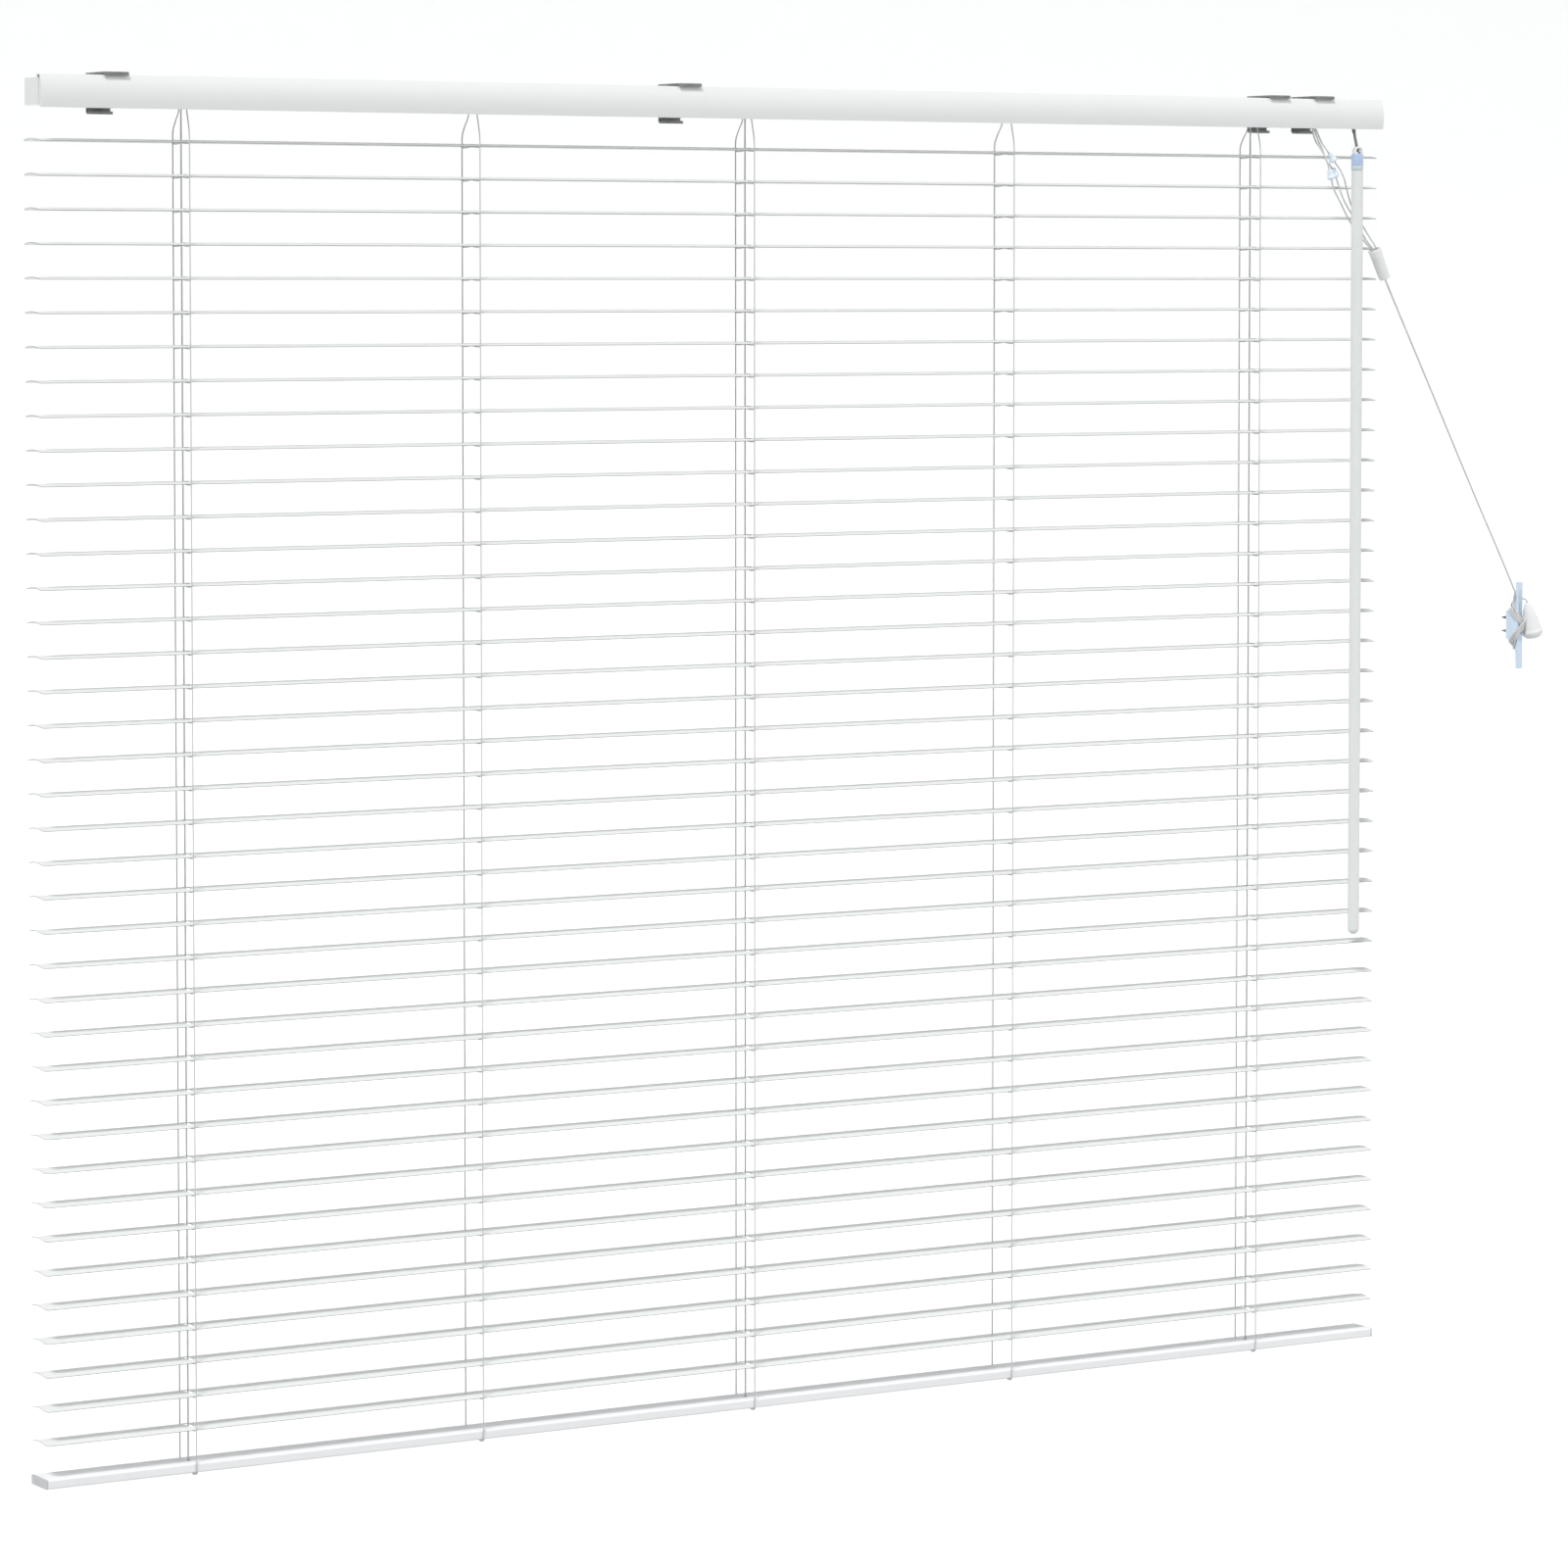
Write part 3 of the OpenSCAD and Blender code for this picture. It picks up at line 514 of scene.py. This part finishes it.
def make_ladders():
    """Each ladder's cords: a short top attached to the head, and a long part attached to the
    ladder's own body, so that it moves with that body. Both run just clear of the slats' edges."""
    for side, node_name in ((-1, "ladder_front"), (1, "ladder_back")):
        tops = [smooth_path(ladder_top(side, x), 2 * MM) for x in STATIONS]
        top = tube(f"{node_name}_tops", tops, LADDER_R * 0.96)    # inside the run at their joint
        runs = []
        for x in STATIONS:
            upper = Vector((x, side * LADDER_Y, FIRST_Z - 4 * MM))
            lower = Vector((x, side * LADDER_Y, RAIL_HIGH.z - 0.8 * MM))
            runs.append(smooth_path([upper, lower], 10 * MM))
        run = tube(f"{node_name}_cords", runs, LADDER_R)
        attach(top, "head")
        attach(run, node_name)
        dress(top, "ladder_cord")
        dress(run, "ladder_cord")
        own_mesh(top)
        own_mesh(run)
        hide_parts(node_name)


def rung_points(x, z, shift):
    """A rung: from ladder cord to ladder cord under a slat, following its curve."""
    high = z - 0.2 * MM
    low = z - 1.0 * MM
    return [Vector((x, -LADDER_Y, high)), Vector((x + shift, -LADDER_Y * 0.8, low)),
            Vector((x + shift, 0, high)), Vector((x + shift, LADDER_Y * 0.8, low)),
            Vector((x, LADDER_Y, high))]


def make_rungs():
    """Two threads under each slat at each ladder, which lean with the slat."""
    for i, name in enumerate(SLATS):
        z = FIRST_Z - i * PITCH
        paths = []
        for x in STATIONS:
            for shift in (-0.8 * MM, 0.8 * MM):
                paths.append(smooth_path(rung_points(x, z, shift), 1.6 * MM))
        rungs = tube(f"rungs_{i + 1:02d}", paths, RUNG_R, 6)
        dress(rungs, "ladder_cord")
        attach(rungs, name)


def make_rail_loops():
    """Ends of the ladder cords: over the bottom rail's edges and into the plugs under it."""
    out = LADDER_R * 0.9
    paths = []
    for x in STATIONS:
        for side in (-1, 1):
            y = side * (HALF_DEPTH + out)
            points = [Vector((x, side * LADDER_Y, RAIL_HIGH.z + 1.5 * MM)),
                      Vector((x, y, RAIL_HIGH.z - 1.5 * MM)), Vector((x, y, RAIL_MID_Z)),
                      Vector((x, y, RAIL_LOW.z + 1.0 * MM)),
                      Vector((x, side * (HALF_DEPTH - 0.5 * MM), RAIL_LOW.z - out)),
                      Vector((x, side * (HALF_DEPTH - 1.4 * MM), RAIL_LOW.z - out))]
            paths.append(smooth_path(points, 0.8 * MM))
    loops = tube("ladder_ends", paths, LADDER_R)
    dress(loops, "ladder_cord")
    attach(loops, "bottom_rail")


# ------------------------------------------------------------------ lift cords
def lift_path(x, run_y, throat_y, foot_z):
    """From just over the bottom rail's tilted top, up, and along the headrail to the lock.

    foot_z is in metres and the rest in mm."""
    run_z = -20.2
    side = [(x, 0, -23.4), (x + 0.2, run_y * 0.45, -22), (x + 1, run_y, -21),
            (x + 3.2, run_y, run_z), (456, run_y, run_z)]
    throat = [(px, throat_y, pz) for px, pz in LOCK_PATH] + [(494, throat_y, -24)]
    return [Vector((x * MM, 0, foot_z)), *metres(side + throat)]


def make_lift_cords():
    """The cords inside the blind, with a last stretch down to the rail as a piece of its own."""
    foot_z = RAIL_HIGH.z + 9.8 * MM
    runs = ((-1.5, -11.1), (0, -9.6), (1.6, -8.1))    # y along the headrail and in the lock, mm
    paths = []
    for x, (run_y, throat_y) in zip(LIFT_STATIONS, runs):
        points = lift_path(x / MM, run_y, throat_y, foot_z)
        paths.append([points[0], *smooth_path(points[1:5], 0.8 * MM),
                      *smooth_path(points[5:], 0.8 * MM)])
    cords = tube("lift_cords_inside", paths, LIFT_R)
    dress(cords, "cord")
    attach(cords, "head")
    feet = [smooth_path([Vector((x, 0, foot_z)), Vector((x, 0, RAIL_HIGH.z - 0.9 * MM))], MM)
            for x in LIFT_STATIONS]
    ends = tube("lift_cord_ends", feet, LIFT_R)
    dress(ends, "cord")
    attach(ends, "head")
    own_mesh(ends)
    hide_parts("lift_cords")


# ------------------------------------------------------------------ fittings on the free cords
def make_bead(side):
    """A small bell, wide and round below and narrower above, with a bore for its cord."""
    at, lean = BEADS[side]
    outline = [(1.25, -1.6), *arc(2.1, -1.1, 0.5, -90, -20, 4), *arc(2.65, 0, 0.45, -30, 60, 5),
               (2.4, 2.2), (2.05, 3.6), *arc(1.35, 4.9, 0.7, 0, 80, 5), (1.0, 5.6), (0.85, 5.2),
               (0.85, -1.2), (1.25, -1.6)]
    bead = lathe(f"stop_bead_{side}", [(r, z - 2.0) for r, z in outline], 40)
    place(bead, at, lean)
    dress(bead, "blue_plastic", BEAD_BLUE)
    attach(bead, "head")
    return bead


def make_condenser():
    """A tapered sleeve: a cupped top that the three cords enter, a parting ring, a round foot."""
    length = CONDENSER_L
    outline = [(1.0, -length + 0.6), (1.3, -length), (3.2, -length),
               *arc(3.3, -length + 1.0, 1.0, -80, 0, 6), (4.35, -length + 3),
               (4.78, -7.4), (4.62, -7.2), (4.62, -6.9), (4.82, -6.7),
               *arc(4.4, -0.8, 0.65, 0, 90, 6), (3.95, -0.3), (3.85, -1.2), (3.75, -5.6), (0.9, -6)]
    condenser = lathe("condenser", outline, 72)
    place(condenser, CONDENSER_TOP, CONDENSER_LEAN)
    dress(condenser, "white_plastic")
    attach(condenser, "head")
    return condenser


def make_tassel():
    """An acorn: a narrow neck, a long shoulder, a rim and a fluted round bottom."""
    length = TASSEL_L

    def flutes(angle, z):
        share = min(1, max(0, (-z - 3) / 10)) * min(1, max(0, (z + length - 1.5) / 3))
        return 1 - 0.012 * share * (0.5 + 0.5 * math.cos(18 * angle))

    outline = [(0.95, -1.4), (1.0, -0.3), (1.3, 0), (1.75, -0.15), (2.15, -0.6), (2.6, -1.6),
               (3.3, -3.5), (4.1, -6), (4.95, -9), (5.75, -12), (6.5, -15), (7.15, -17.8),
               (7.7, -20.4), (8.02, -22.2),
               *arc(8.2 - 5.2, 5.2 - length, 5.2, 10, -86, 14), (2.4, -length + 0.1),
               (1.6, -length + 1.2), (0.01, -length + 1.3)]
    tassel = lathe("tassel_acorn", outline, 108, flutes)
    place(tassel, TASSEL_TOP, TASSEL_LEAN)
    dress(tassel, "white_plastic")
    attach(tassel, "head")
    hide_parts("tassel")
    return tassel


# ------------------------------------------------------------------ cleat and its screws
def make_cleat():
    """A copy of the cleat's own shape with its long edges rounded off."""
    crease = math.radians(50)
    shortest = 4.5 * MM
    source = NODES["cleat"]
    cleat = bpy.data.objects.new("cleat_moulding", source.data.copy())
    bpy.context.scene.collection.objects.link(cleat)
    bm = bmesh.new()
    bm.from_mesh(cleat.data)
    bmesh.ops.remove_doubles(bm, verts=bm.verts, dist=1e-6)
    bmesh.ops.dissolve_limit(bm, angle_limit=math.radians(1), verts=bm.verts, edges=bm.edges)
    rim = [e for e in bm.edges if e.is_manifold and e.calc_face_angle() > crease
           and e.calc_length() > shortest]
    bmesh.ops.bevel(bm, geom=rim, offset=0.7 * MM, segments=4, profile=0.5, affect="EDGES",
                    clamp_overlap=True)
    bm.to_mesh(cleat.data)
    bm.free()
    shade_smooth(cleat.data, math.radians(30))
    dress(cleat, "blue_plastic", PALE_BLUE)
    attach(cleat, "head")
    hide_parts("cleat")


def make_screw(name, at_z, low_y, high_y):
    """A wood screw from a dished head to a sharp point, with a thread wound round its core.

    at_z and the ys are in metres; length, taper and the thread's radius and run are in mm."""
    length = (high_y - low_y) / MM
    taper = length - 5.5
    outline = [(0.01, 0.35), (0.5, 0.3), (0.6, 0.05), (1.6, 0.0), (1.95, 0.35), (1.9, 0.7),
               (0.95, 1.7), (0.85, 2.2), (0.8, taper), (0.55, length - 2.2), (0.02, length)]
    screw = lathe(name, [(r, -z) for r, z in outline], 32)
    turn = Matrix.Rotation(math.radians(90), 4, "X")
    screw.data.transform(Matrix.Translation((CLEAT_X, low_y, at_z)) @ turn)
    thread = []
    per_turn = 16
    count = 10 * per_turn
    for k in range(count + 1):
        run = length - 14.5 + 13.6 * k / count
        r = 0.95 - 0.85 * max(0, run - taper) / 4.8
        a = 2 * math.pi * k / per_turn
        thread.append(Vector((CLEAT_X + r * MM * math.cos(a), low_y + run * MM,
                              at_z + r * MM * math.sin(a))))
    ridge = tube(name + "_thread", [thread], 0.22 * MM, 6)
    for piece in (screw, ridge):
        dress(piece, "screw_steel")
        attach(piece, "head")
    return screw


def make_screws():
    """Two screws, one at each end of the CAD pair's box."""
    head_r = 2 * MM
    low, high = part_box("cleat_screws")
    middle = (low.z + high.z) / 2
    step = (high.z - low.z) / 2 - head_r
    upper = make_screw("screw_upper", middle + step, low.y, high.y)
    make_screw("screw_lower", middle - step, low.y, high.y)
    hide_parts("cleat_screws")


# ------------------------------------------------------------------ wand connector
def make_sleeve(name, inner, outer, low, high, slot_name):
    """A turned sleeve about the wand's axis with softened rims. Sizes are in mm."""
    soft = min(0.35, (outer - inner) / 2.2)
    outline = [(inner, low + soft), *arc(inner + soft, low + soft, soft, 180, 270, 4),
               *arc(outer - soft, low + soft, soft, 270, 360, 4),
               *arc(outer - soft, high - soft, soft, 0, 90, 4),
               *arc(inner + soft, high - soft, soft, 90, 180, 4), (inner, low + soft)]
    sleeve = lathe(name, outline, 64)
    sleeve.data.transform(Matrix.Translation(WAND_AXIS))
    dress(sleeve, slot_name)
    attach(sleeve, "wand_connector")
    return sleeve


def make_connector():
    """The link between the tilter's shaft and the wand: a pale eye of two hoops and two bars,
    a blue collar with a shoulder, and a clear skirt over the wand's end."""
    collar = make_sleeve("connector_collar", 3.5, 4.6, -51.7, -43.4, "blue_plastic")
    skirt = make_sleeve("connector_skirt", 4.2, 4.72, -54.95, -51.75, "wand_plastic")
    dress(skirt, "wand_plastic", CLEAR_SKIRT)
    make_sleeve("connector_shoulder", 0.3, 4.1, -44.6, -43.0, "blue_plastic")
    wide = 2.85
    deep = 1.7
    steps = 24
    loop = [(wide, -43.6)]
    for k in range(steps + 1):
        a = math.pi * k / steps
        loop.append((wide * math.cos(a), -40.1 + 1.95 * math.sin(a)))
    loop.append((-wide, -43.6))
    for name, y in (("connector_eye_front", -deep), ("connector_eye_back", deep)):
        eye = tube(name, [[WAND_AXIS + Vector((x, y, z)) * MM for x, z in loop]], 0.8 * MM, 16)
        dress(eye, "white_plastic")
        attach(eye, "wand_connector")
    for name, x in (("connector_bar_left", -wide), ("connector_bar_right", wide)):
        ends = [WAND_AXIS + Vector((x, y, -42.4)) * MM for y in (-deep, deep)]
        bar = tube(name, [ends], 0.7 * MM, 12)
        dress(bar, "white_plastic")
        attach(bar, "wand_connector")
    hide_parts("wand_connector")


# ------------------------------------------------------------------ free cords
def wound_route():
    """Figure-eight turns on the cleat, in mm. Each crosses the front to the lower right, goes
    behind the lower horn, crosses back to the upper right and goes behind the upper horn; the
    turns lie side by side towards the wall. The last one goes over to the tassel."""
    left = CLEAT_LOW.x / MM - DRAW_R / MM - 0.05
    right = CLEAT_HIGH.x / MM + DRAW_R / MM + 0.05
    middle = (left + right) / 2
    front = CLEAT_LOW.y / MM - DRAW_R / MM
    route = [(left, 1.9, -389.8)]
    for turn, (behind, top, low, next_top) in enumerate(WOUND_TURNS):
        down = 1.75 * turn                     # each turn's crossing is lower than the last one's
        over = front - 1.35 - 0.25 * turn      # and its way back passes in front of more cord
        following = behind + 1.7
        route += [
            (left, (behind + front) / 2, (top - 397.5 - down) / 2 - 0.6),
            (left + 0.35, front + 0.25, -397.2 - down), (left + 1.6, front - 0.15, -399.2 - down),
            (right - 1.6, front - 0.15, -402.6 - down), (right - 0.35, front + 0.25, -404.4 - down),
            (right, (behind + front) / 2, (low - 406 - down) / 2),
            (right - 0.35, behind - 0.2, low + 0.5),
            (middle, behind + 0.1, low),
            (left + 0.35, behind - 0.2, low + 0.5),
            (left - 0.1, (behind + front) / 2, (low - 415.5 + down) / 2 + 0.4),
            (left - 0.1, over + 1.7, -415.2 + down), (left + 0.7, over + 0.45, -413.4 + down),
            (middle, over, -410.2 + 0.9 * down),
            (right - 0.7, over + 0.45, -407.4 + 0.8 * down),
            (right + 0.1, over + 1.7, -405.6 + 0.7 * down),
            (right + 0.1, (following + front) / 2, (next_top - 403) / 2),
            (right - 0.35, following - 0.2, next_top - 0.4),
            (middle, following + 0.1, next_top),
            (left + 0.35, following - 0.2, next_top - 0.4)]
    over_the_top = [(left + 2.2, 7.2, -391.2), (left + 2.2, 5.2, -388.8),
                    (right - 1.2, 3.2, -387.2)]
    to_the_tassel = [(705.2, 1.2, -386.2), (706.9, -0.7, -386.7), (707.8, -1.5, -388.2),
                     (708.4, -1.6, -391.4)]
    return route[:-2] + over_the_top + to_the_tassel


def make_free_cords():
    """Three cords from the lock to the condenser, and one from there to the tassel."""
    condenser = make_condenser()
    tassel = make_tassel()
    for side, route in (("left", LEFT_END), ("middle", MIDDLE_END), ("right", RIGHT_END)):
        path = smooth_path(metres(route), 0.5 * MM)
        strand = tube(f"free_cord_{side}", [path], LIFT_R, 12, BRAID)
        dress(strand, "cord")
        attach(strand, "head")
        make_bead(side)
    path = smooth_path(metres(DRAW_ROUTE + wound_route()), 0.55 * MM)
    draw = tube("draw_cord", [path], DRAW_R, 12, BRAID)
    dress(draw, "cord")
    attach(draw, "head")
    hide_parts("cord_wrap")
    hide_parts("cord_fittings")


make_cleat()
make_screws()
make_connector()
make_free_cords()
make_lift_cords()
make_ladders()
make_rungs()
make_rail_loops()


# ------------------------------------------------------------------ stage and light
def make_stage():
    """A round, pale floor that rises in one curve into a white wall all round."""
    floor_z = CAD_BOX[0][2] - 0.75
    floor_r = 5.2
    bend = 1.6
    bend_steps = 16
    wall_height = 3.4
    steps = 96
    outline = [(0.02, floor_z), (2.5, floor_z), (floor_r, floor_z)]
    for k in range(1, bend_steps + 1):
        a = math.pi / 2 * k / bend_steps
        outline.append((floor_r + bend * math.sin(a), floor_z + bend * (1 - math.cos(a))))
    outline.append((floor_r + bend, floor_z + wall_height))
    around = [2 * math.pi * k / steps for k in range(steps)]
    vertices = [(r * math.cos(a), r * math.sin(a), z) for r, z in outline for a in around]
    faces = [(i * steps + k, i * steps + (k + 1) % steps, (i + 1) * steps + (k + 1) % steps,
              (i + 1) * steps + k)
             for i in range(len(outline) - 1) for k in range(steps)]
    faces.append(tuple(reversed(range(steps))))
    floor = add_object("floor", vertices, faces)
    material, tree, shader = new_material("floor")
    shader.inputs["Roughness"].default_value = 0.9
    shader.inputs["Specular IOR Level"].default_value = 0.1
    where = node(tree, "ShaderNodeTexCoord")
    flat = node(tree, "ShaderNodeMapping")
    flat.inputs["Scale"].default_value = (1, 1, 0)
    distance = node(tree, "ShaderNodeVectorMath", operation="LENGTH")
    ramp = node(tree, "ShaderNodeMapRange", interpolation_type="SMOOTHSTEP")
    ramp.inputs["From Min"].default_value = 1.2
    ramp.inputs["From Max"].default_value = 2.6
    mix = colour_mix(tree, (0.62, 0.62, 0.62), (0.88, 0.88, 0.88))
    tree.links.new(where.outputs["Object"], flat.inputs["Vector"])
    tree.links.new(flat.outputs["Vector"], distance.inputs["Vector"])
    tree.links.new(distance.outputs["Value"], ramp.inputs["Value"])
    tree.links.new(ramp.outputs["Result"], mix.inputs["Factor"])
    tree.links.new(mix.outputs["Result"], shader.inputs["Base Color"])
    floor.data.materials.append(material)


def make_sun(name, towards, strength, spread):
    """A distant light from a direction. spread is its width in degrees."""
    data = bpy.data.lights.new(name, "SUN")
    data.energy = strength
    data.angle = math.radians(spread)
    light = bpy.data.objects.new(name, data)
    bpy.context.scene.collection.objects.link(light)
    light.rotation_euler = Vector(towards).to_track_quat("Z", "Y").to_euler()


def make_lights():
    """A key from the upper left in front, a wide fill from the right, and an even sky."""
    world = bpy.data.worlds.new("studio")
    world.use_nodes = True
    sky = world.node_tree.nodes["Background"]
    sky.inputs["Color"].default_value = (0.97, 0.99, 1.0, 1)
    sky.inputs["Strength"].default_value = 0.37
    bpy.context.scene.world = world
    make_sun("key", towards=(-0.413, -0.31, 0.857), strength=2.3, spread=12)
    make_sun("fill", towards=(0.5, -0.6, 0.62), strength=0.7, spread=45)
    bpy.context.scene.view_settings.view_transform = "Standard"


make_stage()
make_lights()
